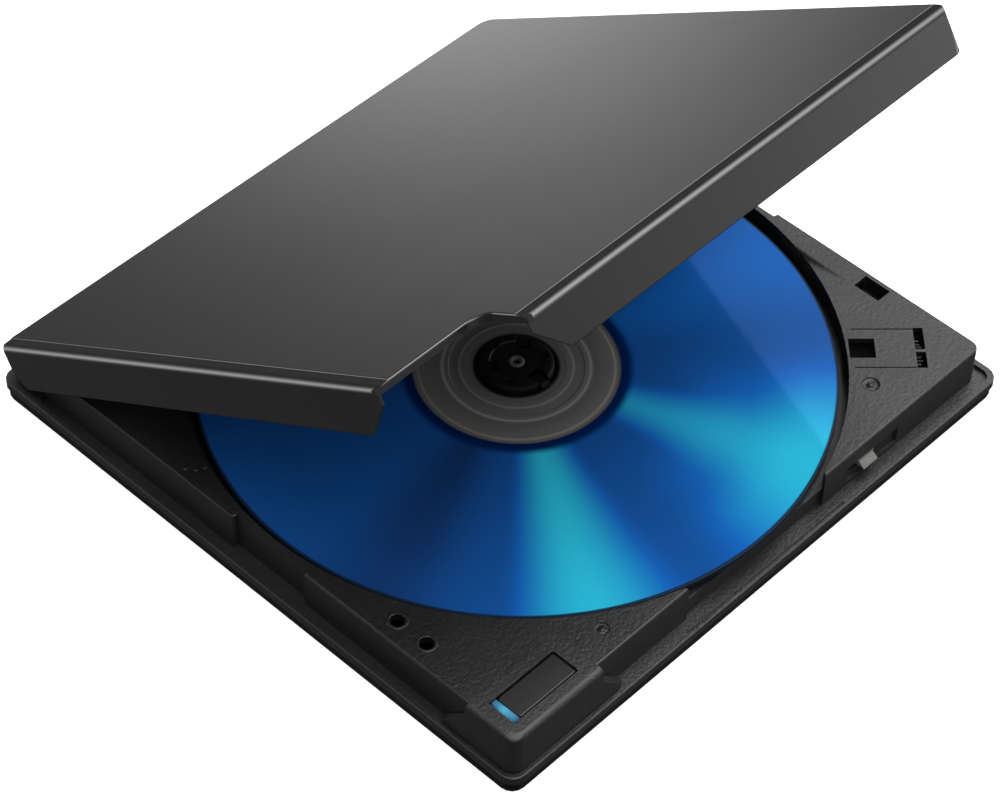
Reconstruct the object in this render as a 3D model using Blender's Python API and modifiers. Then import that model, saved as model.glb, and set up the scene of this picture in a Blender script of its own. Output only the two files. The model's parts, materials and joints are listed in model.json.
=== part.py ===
"""Portable top-loading disc drive: a flat square base with an open disc well, and a hinged lid.

Every size below is in millimetres, and MM turns it into Blender's metres.
+X is to the right along the front edge, +Y is towards the hinge, +Z is up, and the feet stand on Z = 0.
"""

import math

import bmesh
import bpy
from mathutils import Euler, Matrix, Vector

MM = 0.001
GAP = 0.3  # clearance between neighbours that would touch

# Base: bottom tray, flange and the raised deck on it
FLANGE_HALF = 66.5
FLANGE_CORNER = 3.1
TRAY_HALF = 66.1
TRAY_BOTTOM = 0.5
TRAY_FLOOR = 1.7
TRAY_TOP = 3.0
TRAY_WALL = 1.6
FLANGE_BOTTOM = TRAY_TOP + GAP
FLANGE_TOP = 4.97
DECK_HALF_X = 63.55
DECK_FRONT = -62.95
DECK_BACK = 59.8
DECK_TOP = 12.5
DECK_SKIN = 1.2
DECK_WALL = 1.5
DECK_BACK_INNER = 57.0
CHANNEL_HALF = 65.2
CHANNEL_FLOOR = 4.2

# Disc well
DISC_Y = -3.6
DISC_RADIUS = 60.0
DISC_HOLE = 7.5
DISC_BOTTOM = 9.4
DISC_TOP = 10.6
WELL_RADIUS = 61.6
WELL_WALL = 1.0
WELL_FLOOR = 8.0
WELL_UNDER = 7.2
SIDE_RECESS = 1.2
SIDE_RECESS_HALF = 9.2
FRONT_RECESS = 0.75
FRONT_RECESS_HALF = 18.5

# Lid and hinge
LID_ANGLE = 33.1  # how far the lid stands open
HINGE_Y = 60.75
HINGE_Z = 10.1
LID_HALF_X = 65.5
LID_FRONT = -66.15
LID_BACK = 66.2
LID_TOP = 14.8
LID_SKIN = 0.8
LID_WALL = 1.2
LID_SKIRT_BOTTOM = 5.75
LID_BACK_BOTTOM = 9.0
LINER_BOTTOM = 13.05
LINER_TOP = 13.7
NOTCH_X = -41.1
NOTCH_Y = -53.6
NOTCH_RADIUS = 3.6
NOTCH_RIM_BOTTOM = 13.3
SLANT_TOP = 11.6
PIN_RADIUS = 0.9
PIN_BORE = 1.2
KNUCKLE_RADIUS = 2.15
KNUCKLE_X = 53.5
KNUCKLE_HALF = 2.5
EAR_WIDTH = 2.5

# Button block in the front left corner
BLOCK_HALF = 65.5
BLOCK_TOP = 14.5
BLOCK_BOTTOM = FLANGE_TOP + GAP
BLOCK_X = -43.3
BLOCK_Y = -53.9
BLOCK_SLANT = 11.2
BUTTON_LOW = (-60.7, -62.4)
BUTTON_HIGH = (-46.4, -56.4)
LED_WIDTH = 1.0

# Spindle and hub
TURNTABLE_RADIUS = 14.0
TURNTABLE_TOP = 8.5
HUB_RADIUS = 7.15
HUB_TOP = 12.0

# Pickup drive, in its own frame: X runs outwards along the pickup's path, and the spindle is at X = 0, Y = 0
PATH_ANGLE = 45.0
LENS_INNER = 24.5
RAIL_Y = 17.5
RAIL_Z = 4.0
RAIL_RADIUS = 1.0
SCREW_Y = -22.5
SCREW_Z = 4.3
SCREW_RADIUS = 1.1
DAMPER_SPOTS = ((-17.0, -17.0), (-17.0, 17.0), (56.0, 22.2))

# Latch behind the front wall
LATCH_X = (28.6, 33.2)
LATCH_TRAVEL = 2.0
TAB_Z = (6.9, 8.1)

# Data port in the back edge
PORT_X = -20.0
PORT_HALF = 4.5
PORT_LOW = 1.9
PORT_HIGH = 5.1

CASE_SCREWS = {"front_left": (-60.0, -46.0), "front_right": (59.0, -46.5), "back_left": (-56.0, 52.0),
               "back_right": (56.0, 52.0)}
FEET = {"front_left": (-54.0, -57.0), "front_right": (54.0, -57.0), "back_left": (-46.0, 57.0),
        "back_right": (46.0, 57.0)}

FINISHES = {
    "lid_paint": ((0.055, 0.055, 0.057), 0.38, 0.55),
    "black_moulding": ((0.022, 0.022, 0.023), 0.6, 0.0),
    "dark_moulding": ((0.03, 0.03, 0.031), 0.5, 0.0),
    "button_gloss": ((0.02, 0.02, 0.021), 0.3, 0.0),
    "blue_light": ((0.1, 0.45, 0.95), 0.3, 0.0),
    "grey_moulding": ((0.25, 0.25, 0.24), 0.5, 0.0),
    "disc_blue": ((0.02, 0.16, 0.5), 0.15, 0.7),
    "steel": ((0.45, 0.45, 0.46), 0.3, 1.0),
    "sheet_steel": ((0.35, 0.35, 0.36), 0.45, 1.0),
    "die_cast": ((0.28, 0.28, 0.29), 0.5, 0.9),
    "rubber": ((0.015, 0.015, 0.015), 0.85, 0.0),
    "board_green": ((0.02, 0.12, 0.05), 0.45, 0.0),
    "chip_black": ((0.02, 0.02, 0.02), 0.4, 0.0),
    "optical_glass": ((0.5, 0.6, 0.7), 0.05, 0.0),
    "amber_film": ((0.35, 0.17, 0.03), 0.4, 0.0),
    "brass": ((0.5, 0.38, 0.15), 0.35, 1.0),
}

ROUND = 24  # sides of small round pieces
WIDE_ROUND = 96  # sides of the well and the disc
shifts = {}


def collection(name):
    """A new collection in the scene."""
    made = bpy.data.collections.new(name)
    bpy.context.scene.collection.children.link(made)
    return made


def clear_scene():
    """Remove what the scene starts with."""
    for old in list(bpy.data.objects):
        bpy.data.objects.remove(old, do_unlink=True)


clear_scene()
PARTS = collection("portable_disc_drive")
CUTTERS = collection("cutters")


def finish(name):
    """The Principled material of that name, made once."""
    found = bpy.data.materials.get(name)
    if found:
        return found
    color, roughness, metallic = FINISHES[name]
    made = bpy.data.materials.new(name)
    made.use_nodes = True
    shader = made.node_tree.nodes["Principled BSDF"]
    shader.inputs["Base Color"].default_value = (*color, 1.0)
    shader.inputs["Roughness"].default_value = roughness
    shader.inputs["Metallic"].default_value = metallic
    return made


def pivot(name, at, parent=None, turn=(0.0, 0.0, 0.0), own_frame=False):
    """An empty on a joint's axis. Its children are drawn in its parent's coordinates, or in its own."""
    empty = bpy.data.objects.new(name, None)
    empty.empty_display_size = 5 * MM
    PARTS.objects.link(empty)
    empty.rotation_euler = Euler([math.radians(angle) for angle in turn])
    empty.location = (Vector(at) + shift_of(parent)) * MM
    empty.parent = parent
    shifts[name] = Vector() if own_frame else -Vector(at)
    return empty


def shift_of(parent):
    """How far a child of this pivot is moved, so that its points can be given in the parent's frame."""
    return shifts[parent.name] if parent else Vector()


def place(name, mesh, look=None, frame=None, at=(0.0, 0.0, 0.0)):
    """Put a mesh in the scene: a part when it has a look, else a cutter."""
    obj = bpy.data.objects.new(name, mesh)
    obj.parent = frame
    obj.location = (Vector(at) + shift_of(frame)) * MM
    if look:
        PARTS.objects.link(obj)
        mesh.materials.append(finish(look))
    else:
        CUTTERS.objects.link(obj)
        obj.hide_render = True
        obj.display_type = "WIRE"
    return obj


def mesh_of(name, work):
    """Turn an edited mesh in millimetres into a mesh in metres."""
    bmesh.ops.scale(work, vec=(MM, MM, MM), verts=work.verts)
    bmesh.ops.recalc_face_normals(work, faces=work.faces)
    mesh = bpy.data.meshes.new(name)
    work.to_mesh(mesh)
    work.free()
    return mesh


def is_upright(edge):
    """Whether an edge runs along Z."""
    first, second = (vert.co for vert in edge.verts)
    return abs(first.x - second.x) < 1e-6 and abs(first.y - second.y) < 1e-6


def box(name, low, high, look=None, frame=None, corner=0.0, rim=0.0, rim_at="top", turn=0.0, steps=4):
    """A block between two corners, with its upright edges rounded by corner and a horizontal rim by rim."""
    low, high = Vector(low), Vector(high)
    work = bmesh.new()
    bmesh.ops.create_cube(work, size=1.0)
    bmesh.ops.scale(work, vec=high - low, verts=work.verts)
    bmesh.ops.translate(work, vec=(low + high) / 2, verts=work.verts)
    if corner:
        upright = [edge for edge in work.edges if is_upright(edge)]
        bmesh.ops.bevel(work, geom=upright, offset=corner, segments=steps, profile=0.5, affect="EDGES")
    if rim:
        level = high.z if rim_at == "top" else low.z
        around = [edge for edge in work.edges if all(abs(vert.co.z - level) < 1e-6 for vert in edge.verts)]
        bmesh.ops.bevel(work, geom=around, offset=rim, segments=3, profile=0.5, affect="EDGES")
    if turn:
        bmesh.ops.rotate(work, matrix=Matrix.Rotation(math.radians(turn), 3, "Z"), verts=work.verts)
    return place(name, mesh_of(name, work), look, frame)


def rod(name, start, end, radius, look=None, frame=None, sides=ROUND, tip=None):
    """A round bar from start to end, which may narrow to the radius tip."""
    start, end = Vector(start), Vector(end)
    work = bmesh.new()
    length = (end - start).length
    bmesh.ops.create_cone(work, cap_ends=True, segments=sides, radius1=radius,
                          radius2=radius if tip is None else tip, depth=length)
    turned_to = Vector((0, 0, 1)).rotation_difference(end - start).to_matrix()
    bmesh.ops.rotate(work, matrix=turned_to, verts=work.verts)
    bmesh.ops.translate(work, vec=(start + end) / 2, verts=work.verts)
    obj = place(name, mesh_of(name, work), look, frame)
    obj.data.shade_smooth()
    obj.data.set_sharp_from_angle(angle=math.radians(35))
    return obj


def turned(name, profile, centre=(0.0, 0.0), look=None, frame=None, sides=ROUND, closed=False):
    """A turned piece about Z: its profile of (radius, height) points runs down the outer side."""
    mesh = bpy.data.meshes.new(name)
    count = len(profile)
    links = [(i, i + 1) for i in range(count - 1)] + ([(count - 1, 0)] if closed else [])
    mesh.from_pydata([(radius * MM, 0.0, height * MM) for radius, height in profile], links, [])
    obj = place(name, mesh, look, frame, at=(*centre, 0.0))
    screw = obj.modifiers.new("turn", "SCREW")
    screw.steps = sides
    screw.render_steps = sides
    screw.use_merge_vertices = True
    screw.merge_threshold = 0.00001
    screw.use_smooth_shade = True
    return obj


def prism(name, outline, low, high, along="Z", look=None, frame=None):
    """A flat outline pushed from low to high along one axis, from (Y, Z), (X, Z) or (X, Y) pairs."""
    curve = bpy.data.curves.new(name + "_outline", "CURVE")
    curve.dimensions = "2D"
    curve.fill_mode = "BOTH"
    curve.extrude = (high - low) / 2 * MM
    spline = curve.splines.new("POLY")
    spline.points.add(len(outline) - 1)
    for point, (first, second) in zip(spline.points, outline):
        point.co = (first * MM, second * MM, 0.0, 1.0)
    spline.use_cyclic_u = True
    guide = bpy.data.objects.new(name + "_guide", curve)
    bpy.context.scene.collection.objects.link(guide)
    bpy.context.view_layer.update()
    mesh = bpy.data.meshes.new_from_object(guide.evaluated_get(bpy.context.evaluated_depsgraph_get()))
    bpy.data.objects.remove(guide, do_unlink=True)
    work = bmesh.new()
    work.from_mesh(mesh)
    bmesh.ops.translate(work, vec=(0, 0, (low + high) / 2 * MM), verts=work.verts)
    swap = {"Z": Matrix.Identity(3), "X": Matrix(((0, 0, 1), (1, 0, 0), (0, 1, 0))),
            "Y": Matrix(((1, 0, 0), (0, 0, 1), (0, 1, 0)))}[along]
    bmesh.ops.transform(work, matrix=swap.to_4x4(), verts=work.verts)
    bmesh.ops.remove_doubles(work, verts=work.verts, dist=1e-7)
    bmesh.ops.recalc_face_normals(work, faces=work.faces)
    work.to_mesh(mesh)
    work.free()
    mesh.materials.clear()
    return place(name, mesh, look, frame)


def boolean(target, others, operation):
    """Combine other solids with a piece, one after another."""
    for other in others:
        step = target.modifiers.new(other.name, "BOOLEAN")
        step.operation = operation
        step.object = other
        step.solver = "EXACT"


def cut(target, *cutters):
    """Take the cutters out of a piece."""
    boolean(target, cutters, "DIFFERENCE")


def join(target, *pieces):
    """Make one solid of a piece and what is moulded on it."""
    boolean(target, pieces, "UNION")


# ---------------------------------------------------------------- base shells


def case_screw_holes(target, name, low, high, head=None):
    """Clearance holes for the four case screws, with room for a head where its height is given."""
    for corner, (x, y) in CASE_SCREWS.items():
        cut(target, rod(f"{name}_hole_{corner}", (x, y, low), (x, y, high), PIN_BORE, sides=10))
        if head:
            cut(target, rod(f"{name}_head_{corner}", (x, y, TRAY_BOTTOM - 1), (x, y, head), 2.4, sides=16))


def bottom_case():
    """The tray that closes the base from below."""
    half = TRAY_HALF
    tray = box("bottom_case", (-half, -half, TRAY_BOTTOM), (half, half, TRAY_TOP), "black_moulding",
               corner=2.8, rim=0.6, rim_at="bottom")
    inner = half - TRAY_WALL
    cut(tray, box("tray_inside", (-inner, -inner, TRAY_FLOOR), (inner, inner, TRAY_TOP + 1), corner=1.5))
    for corner, (x, y) in CASE_SCREWS.items():
        join(tray, rod(f"tray_boss_{corner}", (x, y, TRAY_FLOOR - 0.5), (x, y, TRAY_TOP), 2.8, sides=16))
    for number, (x, y) in enumerate(damper_places()):
        join(tray, rod(f"damper_post_{number}", (x, y, TRAY_FLOOR - 0.5), (x, y, 3.4), 2.2, sides=12))
        cut(tray, rod(f"damper_post_hole_{number}", (x, y, 2.2), (x, y, 4.0), 0.9, sides=8))
    for corner, (x, y) in FEET.items():
        cut(tray, rod(f"foot_seat_{corner}", (x, y, -1.0), (x, y, 1.2), 4.3, sides=20))
    case_screw_holes(tray, "tray", 0.0, TRAY_TOP + 1, head=1.4)
    cut(tray, box("port_in_tray", (PORT_X - PORT_HALF - GAP, 62.0, PORT_LOW - GAP),
                  (PORT_X + PORT_HALF + GAP, 70.0, TRAY_TOP + 1)))
    return tray


def deck_solid():
    """Flange and deck as one block, hollowed from below around the disc well."""
    half = FLANGE_HALF
    deck = box("deck_frame", (-half, -half, FLANGE_BOTTOM), (half, half, FLANGE_TOP), "dark_moulding",
               corner=FLANGE_CORNER, rim=0.3)
    join(deck, box("deck_block", (-DECK_HALF_X, DECK_FRONT, FLANGE_BOTTOM + 0.4),
                   (DECK_HALF_X, DECK_BACK, DECK_TOP), corner=2.0))
    inner_x = DECK_HALF_X - DECK_WALL
    cavity = box("deck_cavity", (-inner_x, DECK_FRONT + DECK_WALL, 0.0),
                 (inner_x, DECK_BACK_INNER, DECK_TOP - DECK_SKIN), corner=1.0)
    cut(cavity, rod("well_outside", (0, DISC_Y, WELL_UNDER), (0, DISC_Y, DECK_TOP + 5),
                    WELL_RADIUS + WELL_WALL, sides=WIDE_ROUND))
    cut(deck, cavity)
    cut(deck, rod("well_inside", (0, DISC_Y, WELL_FLOOR), (0, DISC_Y, DECK_TOP + 5), WELL_RADIUS,
                  sides=WIDE_ROUND))
    return deck


def deck_recesses(deck):
    """Channel round the flange, finger recesses beside the disc, and the groove on the front flange."""
    channel = box("channel", (-CHANNEL_HALF, -CHANNEL_HALF, CHANNEL_FLOOR),
                  (CHANNEL_HALF, 57.0, FLANGE_TOP + 1), corner=2.0)
    cut(channel, box("channel_island", (-DECK_HALF_X, DECK_FRONT, 0), (DECK_HALF_X, 70.0, 20), corner=2.0))
    cut(deck, channel)
    low, high = DISC_Y - SIDE_RECESS_HALF, DISC_Y + SIDE_RECESS_HALF
    for side in (-1, 1):
        left, right = sorted((side * (DECK_HALF_X - SIDE_RECESS), side * (DECK_HALF_X + 1)))
        cut(deck, box(f"side_recess_{side}", (left, low, CHANNEL_FLOOR), (right, high, DECK_TOP + 1)))
    cut(deck, box("front_recess", (-FRONT_RECESS_HALF, DECK_FRONT - 1, CHANNEL_FLOOR),
                  (FRONT_RECESS_HALF, DECK_FRONT + FRONT_RECESS, DECK_TOP + 1)))
    cut(deck, box("flange_groove", (-21.5, -65.85, FLANGE_TOP - 0.3), (21.5, -65.5, FLANGE_TOP + 1)))


def deck_openings(deck):
    """Holes, windows and slots in the deck and in the well's floor."""
    for number, y in enumerate((-31.9, -39.0)):
        x = -59.5
        join(deck, rod(f"hole_rim_{number}", (x, y, DECK_TOP - 0.6), (x, y, DECK_TOP + 0.25), 1.9, sides=20))
        cut(deck, rod(f"round_hole_{number}", (x, y, 9.0), (x, y, DECK_TOP + 2), 1.35, sides=20))
    cut(deck, box("lid_window", (59.0, -41.7, 9.0), (62.5, -35.8, DECK_TOP + 1)))
    diagonal = -45.0
    cut(deck, box("peg_window", (64.55, -2.45, 9.0), (69.45, 2.45, DECK_TOP + 1), turn=diagonal))
    for name, low, high in (("long", -0.25, 5.2), ("short", -5.0, -0.95)):
        cut(deck, box(f"comb_slot_{name}", (76.95, low, 9.0), (78.85, high, DECK_TOP + 1), turn=diagonal))
    for side in (-4.9, 4.9):
        cut(deck, box(f"panel_line_{side}", (65.3, side - 0.15, DECK_TOP - 0.2),
                      (76.8, side + 0.15, DECK_TOP + 1), turn=diagonal))
    for name, x, y, radius in (("right", 41.5, -54.4, 1.6), ("left", -35.8, -58.1, 1.4)):
        ring = [(radius, DECK_TOP + 1), (radius, DECK_TOP - 0.2), (radius - 0.35, DECK_TOP - 0.2),
                (radius - 0.35, DECK_TOP + 1)]
        cut(deck, turned(f"mould_ring_{name}", ring, (x, y), sides=20, closed=True))
    cut(deck, rod("spindle_opening", (0, DISC_Y, 0), (0, DISC_Y, WELL_FLOOR + 1), 15.2, sides=48))
    window = prism("pickup_opening", ((5, -12), (66.5, -12), (66.5, 12), (5, 12)), 0, WELL_FLOOR + 1)
    window.parent = traverse
    cut(deck, window)


def deck_mounts(deck):
    """Screw bosses under the deck, hinge ears at its back, and pockets for the lid's knuckles."""
    for corner, (x, y) in CASE_SCREWS.items():
        join(deck, rod(f"deck_boss_{corner}", (x, y, FLANGE_BOTTOM), (x, y, DECK_TOP - 0.5), 2.5, sides=12))
    case_screw_holes(deck, "deck", 0.0, 9.4)
    for side in (-1, 1):
        low, high = KNUCKLE_HALF + GAP, KNUCKLE_HALF + GAP + EAR_WIDTH
        for ear, (near, far) in enumerate(((-high, -low), (low, high))):
            x_low, x_high = side * KNUCKLE_X + near, side * KNUCKLE_X + far
            join(deck, box(f"ear_block_{side}_{ear}", (x_low, DECK_BACK - 1.2, FLANGE_BOTTOM + 0.4),
                           (x_high, HINGE_Y + 2.15, HINGE_Z)))
            join(deck, rod(f"ear_round_{side}_{ear}", (x_low, HINGE_Y, HINGE_Z), (x_high, HINGE_Y, HINGE_Z),
                           2.15, sides=20))
        pocket_half = KNUCKLE_HALF + GAP
        cut(deck, box(f"knuckle_pocket_{side}", (side * KNUCKLE_X - pocket_half, 58.25, 6.9),
                      (side * KNUCKLE_X + pocket_half, 64.0, DECK_TOP + 3)))
        reach = KNUCKLE_HALF + GAP + EAR_WIDTH + 0.5
        cut(deck, rod(f"ear_bore_{side}", (side * KNUCKLE_X - reach, HINGE_Y, HINGE_Z),
                      (side * KNUCKLE_X + reach, HINGE_Y, HINGE_Z), PIN_BORE, sides=16))


def deck_front_openings(deck):
    """The latch's pocket in the front wall, the button's and light's holes, and the port in the flange."""
    cut(deck, box("latch_pocket", (25.2, DECK_FRONT - 1, 5.3), (39.5, DECK_FRONT + 0.5, 9.0)))
    cut(deck, box("latch_opening", (LATCH_X[0] - LATCH_TRAVEL - 0.4, DECK_FRONT - 1, 6.5),
                  (LATCH_X[1] + 0.4, DECK_FRONT + DECK_WALL + 0.6, 8.5)))
    cut(deck, box("stem_hole", (-56.4, -61.6, 9.0), (-50.6, -57.2, DECK_TOP + 1)))
    cut(deck, box("light_hole", (-62.0, -62.0, 9.0), (-60.4, -57.0, DECK_TOP + 1)))
    cut(deck, box("port_in_flange", (PORT_X - PORT_HALF - GAP, 50.0, 0.0),
                  (PORT_X + PORT_HALF + GAP, 70.0, PORT_HIGH + GAP)))


def deck_frame():
    """The upper half of the base, with everything that is moulded in it."""
    deck = deck_solid()
    deck_recesses(deck)
    deck_mounts(deck)
    deck_openings(deck)
    deck_front_openings(deck)
    return deck


def feet_and_screws():
    """Four rubber feet and the four screws that hold tray and deck together."""
    for corner, (x, y) in FEET.items():
        turned(f"foot_{corner}", ((0, 0.9), (4.0, 0.9), (4.0, 0.25), (3.7, 0.0), (0, 0.0)), (x, y), "rubber",
               sides=20)
    for corner, (x, y) in CASE_SCREWS.items():
        profile = ((0, 8.6), (0.85, 8.3), (0.85, 1.15), (2.05, 1.15), (2.05, 0.75), (1.8, 0.6), (0, 0.6))
        screw = turned(f"case_screw_{corner}", profile, (x, y), "steel", sides=12)
        cut(screw, box(f"drive_{corner}_1", (x - 1.1, y - 0.2, 0), (x + 1.1, y + 0.2, 0.95)),
            box(f"drive_{corner}_2", (x - 0.2, y - 1.1, 0), (x + 0.2, y + 1.1, 0.95)))


# ---------------------------------------------------------------- button block


def slanted(name, level, line_at, low, high, along, bottom):
    """A cutter beyond line_at that leaves a foot slanting outwards at 45 degrees below level."""
    foot = level - bottom
    outline = ((line_at, 30), (line_at, level), (line_at + foot + 2, bottom - 2), (line_at + 40, bottom - 2),
               (line_at + 40, 30))
    return prism(name, outline, low, high, along)


def button_bezel():
    """The raised block round the open button, with a skirt down both outer faces."""
    half = BLOCK_HALF
    block = box("button_bezel", (-half, -half, BLOCK_BOTTOM), (-36.5, -46.5, BLOCK_TOP), "dark_moulding",
                corner=2.6, rim=0.7)
    cut(block, slanted("block_end_front", BLOCK_SLANT, BLOCK_X, -70, -40, "Y", BLOCK_BOTTOM))
    cut(block, slanted("block_end_side", BLOCK_SLANT, BLOCK_Y, -70, -30, "X", BLOCK_BOTTOM))
    cut(block, box("block_inside", (-DECK_HALF_X - GAP, DECK_FRONT - GAP, 0), (-20, -20, DECK_TOP + GAP),
                   corner=2.0))
    cut(block, box("button_hole", (*BUTTON_LOW, 10), (*BUTTON_HIGH, 20), corner=0.5, steps=2))
    cut(block, box("light_slot", (BUTTON_LOW[0] - GAP - LED_WIDTH - 0.2, BUTTON_LOW[1], 10),
                   (BUTTON_LOW[0] + 0.5, BUTTON_HIGH[1], 20)))
    return block


def open_button():
    """The button cap with the stem that presses its switch."""
    guide = pivot("open_button_axis", (-53.5, -59.4, 14.3))
    low, high = BUTTON_LOW, BUTTON_HIGH
    cap = box("open_button", (low[0] + 0.3, low[1] + 0.3, 13.2), (high[0] - 0.3, high[1] - 0.3, 14.35),
              "button_gloss", guide, corner=0.4, rim=0.2, steps=2)
    join(cap, box("button_stem", (-54.5, -60.4, 11.55), (-52.5, -58.4, 13.8), frame=guide))
    return cap


def light_pipe():
    """The strip beside the button that shows the light, and the light itself."""
    right = BUTTON_LOW[0] - 0.05
    strip = box("light_pipe", (right - LED_WIDTH, BUTTON_LOW[1] + 0.25, 13.1),
                (right, BUTTON_HIGH[1] - 0.25, 14.45), "blue_light")
    join(strip, box("light_pipe_stem", (-61.7, -61.4, 10.4), (-60.9, -57.6, 13.5)))
    box("status_light", (-61.9, -60.5, 9.25), (-60.6, -58.5, 10.05), "blue_light")


def button_board():
    """The small board under the block, with the switch that the stem presses."""
    box("button_board", (-61.6, -61.1, 8.1), (-45.5, -53.2, 8.95), "board_green")
    switch = box("button_switch", (-55.4, -61.0, 9.25), (-51.6, -57.8, 10.5), "chip_black", rim=0.2)
    join(switch, rod("switch_plunger", (-53.5, -59.4, 10.2), (-53.5, -59.4, 11.0), 0.9, sides=12))


# ---------------------------------------------------------------- lid


def notch_box(name, grow, low, high):
    """The corner that the lid leaves free for the button block, grown by a margin."""
    return box(name, (-80, -80, low), (NOTCH_X + grow, NOTCH_Y + grow, high), frame=lid, corner=NOTCH_RADIUS)


def lid_cover():
    """The lid's painted outer shell."""
    cover = box("lid_cover", (-LID_HALF_X, LID_FRONT, LID_SKIRT_BOTTOM), (LID_HALF_X, LID_BACK, LID_TOP),
                "lid_paint", lid, corner=3.0, rim=0.9)
    inner_x = LID_HALF_X - LID_WALL
    cavity = box("lid_cavity", (-inner_x, LID_FRONT + LID_WALL, 0), (inner_x, LID_BACK - LID_WALL,
                 LID_TOP - LID_SKIN), frame=lid, corner=1.9)
    cut(cavity, notch_box("notch_rim", LID_WALL, NOTCH_RIM_BOTTOM, 30))
    cut(cover, cavity)
    cut(cover, notch_box("notch", 0.0, 0, 30))
    slant = SLANT_TOP - LID_SKIRT_BOTTOM
    for name, line_at, along in (("front", NOTCH_X, "Y"), ("side", NOTCH_Y, "X")):
        outline = ((line_at - 5, SLANT_TOP), (line_at, SLANT_TOP),
                   (line_at + slant + 1, LID_SKIRT_BOTTOM - 1), (line_at - 5, LID_SKIRT_BOTTOM - 1))
        cut(cover, prism(f"notch_slant_{name}", outline, -75, -62, along, frame=lid))
    back = ((61.6, 3), (61.6, LID_SKIRT_BOTTOM), (64.9, LID_BACK_BOTTOM), (70, LID_BACK_BOTTOM), (70, 3))
    cut(cover, prism("lid_back_relief", back, -80, 80, "X", frame=lid))
    return cover


def lid_liner():
    """The lid's inner plate, with the knuckles that turn on the hinge pins."""
    half = LID_HALF_X - LID_WALL - 0.4
    liner = box("lid_liner", (-half, LID_FRONT + LID_WALL + 0.4, LINER_BOTTOM),
                (half, LID_BACK - LID_WALL - 0.4, LINER_TOP), "dark_moulding", lid, corner=2.0)
    cut(liner, notch_box("liner_notch", LID_WALL + 0.35, 0, 30))
    ring = [(20.5, LINER_BOTTOM + 0.3), (20.5, 12.35), (19.0, 12.35), (19.0, LINER_BOTTOM + 0.3)]
    join(liner, turned("liner_ring", ring, (0, DISC_Y), frame=lid, sides=48, closed=True))
    for side in (-1, 1):
        low, high = side * KNUCKLE_X - KNUCKLE_HALF, side * KNUCKLE_X + KNUCKLE_HALF
        join(liner, box(f"knuckle_arm_{side}", (low, HINGE_Y - 1.5, HINGE_Z), (high, HINGE_Y + 1.8,
                        LINER_BOTTOM + 0.3), frame=lid))
        join(liner, rod(f"knuckle_round_{side}", (low, HINGE_Y, HINGE_Z), (high, HINGE_Y, HINGE_Z),
                        KNUCKLE_RADIUS, frame=lid))
        cut(liner, rod(f"knuckle_bore_{side}", (low - 1, HINGE_Y, HINGE_Z), (high + 1, HINGE_Y, HINGE_Z),
                       PIN_BORE, frame=lid, sides=16))
    return liner


def lid_fittings():
    """The catch that the latch holds, and the peg that tells the drive that the lid is shut."""
    stem_right = LATCH_X[0] - LATCH_TRAVEL - 0.4
    inside = LID_FRONT + LID_WALL + GAP
    catch = box("lid_catch", (stem_right - 2.2, inside, 5.8), (stem_right, inside + 1.3, LINER_BOTTOM - GAP),
                "dark_moulding", lid)
    join(catch, box("catch_toe", (stem_right - 2.2, inside, 5.8), (LATCH_X[0] - 0.4, inside + 1.3, 6.6),
                    frame=lid))
    peg_x, peg_y = diagonal_point(67.0, 0.0)
    profile = ((0, LINER_BOTTOM - GAP), (1.5, LINER_BOTTOM - GAP), (1.5, 11.4), (1.1, 11.0), (0, 11.0))
    turned("lid_peg", profile, (peg_x, peg_y), "dark_moulding", lid, sides=16)


def hinge_pins():
    """Two short pins through the ears and the lid's knuckles."""
    for name, side in (("left", -1), ("right", 1)):
        reach = KNUCKLE_HALF + GAP + EAR_WIDTH - 0.2
        rod(f"hinge_pin_{name}", (side * KNUCKLE_X - reach, HINGE_Y, HINGE_Z),
            (side * KNUCKLE_X + reach, HINGE_Y, HINGE_Z), PIN_RADIUS, "steel", sides=16)


# ---------------------------------------------------------------- spindle and disc


def spindle_motor():
    """The motor's mounting plate and its coil stack, below the turning bell."""
    plate = box("motor_base", (-13.5, -14.0, 2.2), (13.5, 14.0, 3.0), "sheet_steel", traverse, corner=5.0)
    for number, (x, y) in enumerate(((-12.0, -12.2), (-12.0, 12.2))):
        join(plate, rod(f"motor_post_{number}", (x, y, 2.5), (x, y, 5.2), 1.4, frame=traverse, sides=12))
    join(plate, rod("bearing_sleeve", (0, 0, 2.5), (0, 0, 6.8), 2.6, frame=traverse))
    cut(plate, rod("bearing_bore", (0, 0, 2.7), (0, 0, 8), 1.1, frame=traverse, sides=16))
    coils = [(11.0, 6.6), (11.0, 3.4), (2.95, 3.4), (2.95, 6.6)]
    turned("motor_coils", coils, look="brass", frame=traverse, sides=24, closed=True)


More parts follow.
